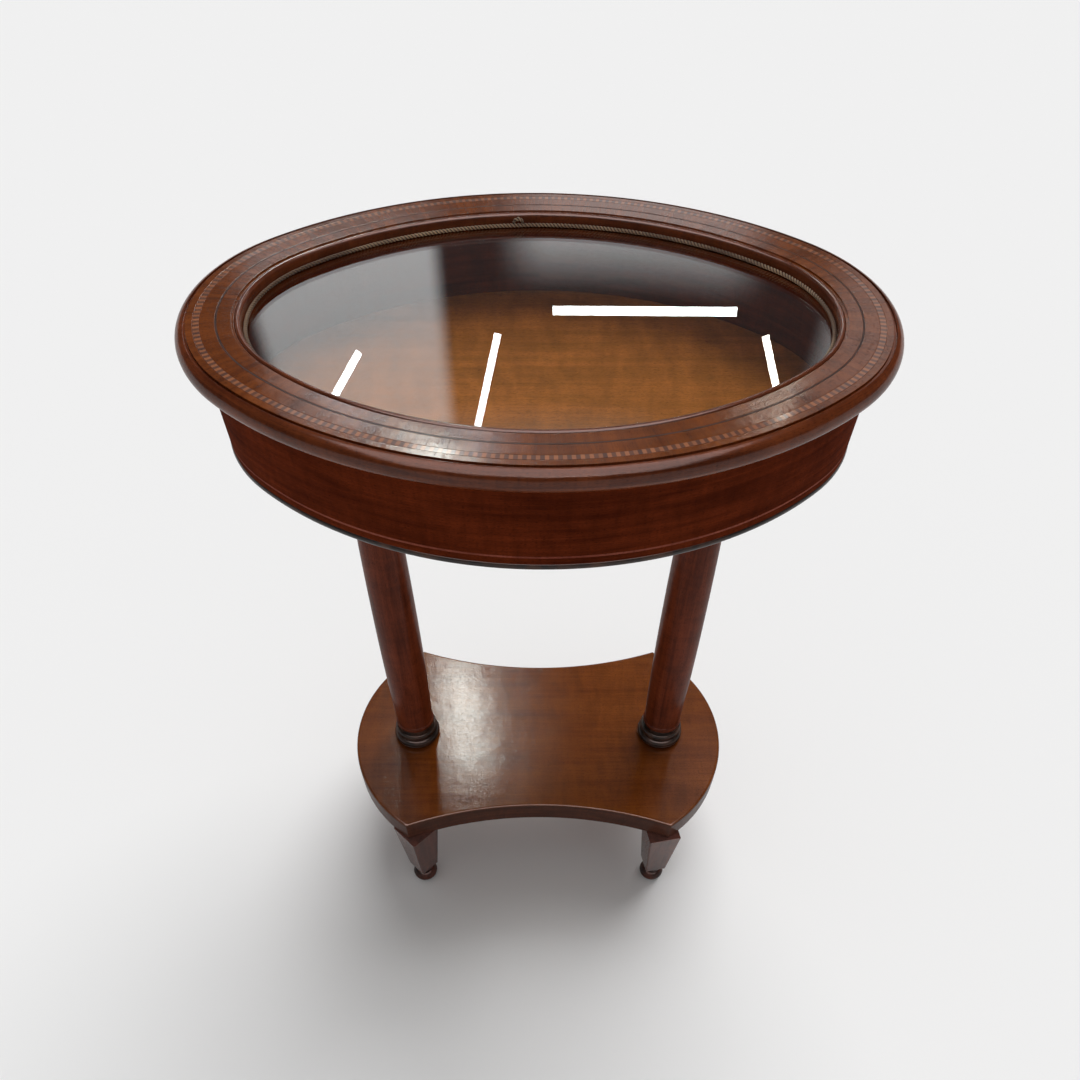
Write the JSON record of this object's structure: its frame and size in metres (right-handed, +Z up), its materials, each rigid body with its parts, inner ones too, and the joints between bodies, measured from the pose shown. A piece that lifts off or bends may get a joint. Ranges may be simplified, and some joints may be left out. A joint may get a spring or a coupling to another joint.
{
  "type": "collectors display table",
  "caption": "Oval display table with a hinged glass lid over a shallow case, two round columns, a shaped lower shelf and tapered feet.",
  "frame": {"origin": "on the floor under the middle of the top", "axes": "+X to the right, +Y to the back where the hinges are, +Z up"},
  "size_m": [0.5998, 0.45, 0.75],
  "materials": {
    "mahogany_veneer": "French polished veneer, satin gloss",
    "mahogany_moulding": "French polished solid moulding",
    "mahogany_turned": "French polished turning",
    "mahogany_solid": "French polished solid wood",
    "case_lining": "polished veneered panel",
    "secondary_wood": "plain planed board",
    "ebonised_wood": "ebonised and polished",
    "boxwood_inlay": "aged boxwood and dyed pear, polished over",
    "clear_glass": "clear float glass",
    "twisted_cord": "two-ply twisted silk cord",
    "brass": "aged brass",
    "steel": "plain steel"
  },
  "bodies": {
    "table": {"frieze_band": "mahogany_veneer", "lower_shelf": "mahogany_veneer", "column_left": "mahogany_turned", "column_right": "mahogany_turned", "foot_front_left": "mahogany_solid", "foot_front_right": "mahogany_solid", "foot_back_left": "mahogany_solid", "foot_back_right": "mahogany_solid", "case_floor": "case_lining", "case_bottom": "secondary_wood", "foot_dowels": "secondary_wood", "frieze_foot_bead": "ebonised_wood", "column_base_left": "ebonised_wood", "column_base_right": "ebonised_wood", "column_cap_left": "ebonised_wood", "column_cap_right": "ebonised_wood", "foot_pad_front_left": "ebonised_wood", "foot_pad_front_right": "ebonised_wood", "foot_pad_back_left": "ebonised_wood", "foot_pad_back_right": "ebonised_wood", "frieze_string": "boxwood_inlay", "hinge_leaf_case_left": "brass", "hinge_leaf_case_right": "brass", "hinge_screws_case": "brass", "hinge_pin_left": "brass", "hinge_pin_right": "brass", "case_bottom_screws": "steel"},
    "lid": {"lid_frame": "mahogany_veneer", "lid_nosing": "mahogany_moulding", "dentil_banding": "boxwood_inlay", "lid_stringing": "ebonised_wood", "lid_inner_bead": "mahogany_moulding", "glass_pane": "clear_glass", "glazing_bead": "mahogany_moulding", "glass_cord": "twisted_cord", "hinge_leaf_lid_left": "brass", "hinge_leaf_lid_right": "brass", "hinge_screws_lid": "brass"}
  },
  "joints": [
    {"name": "lid_hinge", "type": "hinge", "parent": "table", "child": "lid", "pos_m": [0, 0.2106, 0.73035], "axis": [-1, 0, 0], "range_deg": [0, 105]}
  ]
}
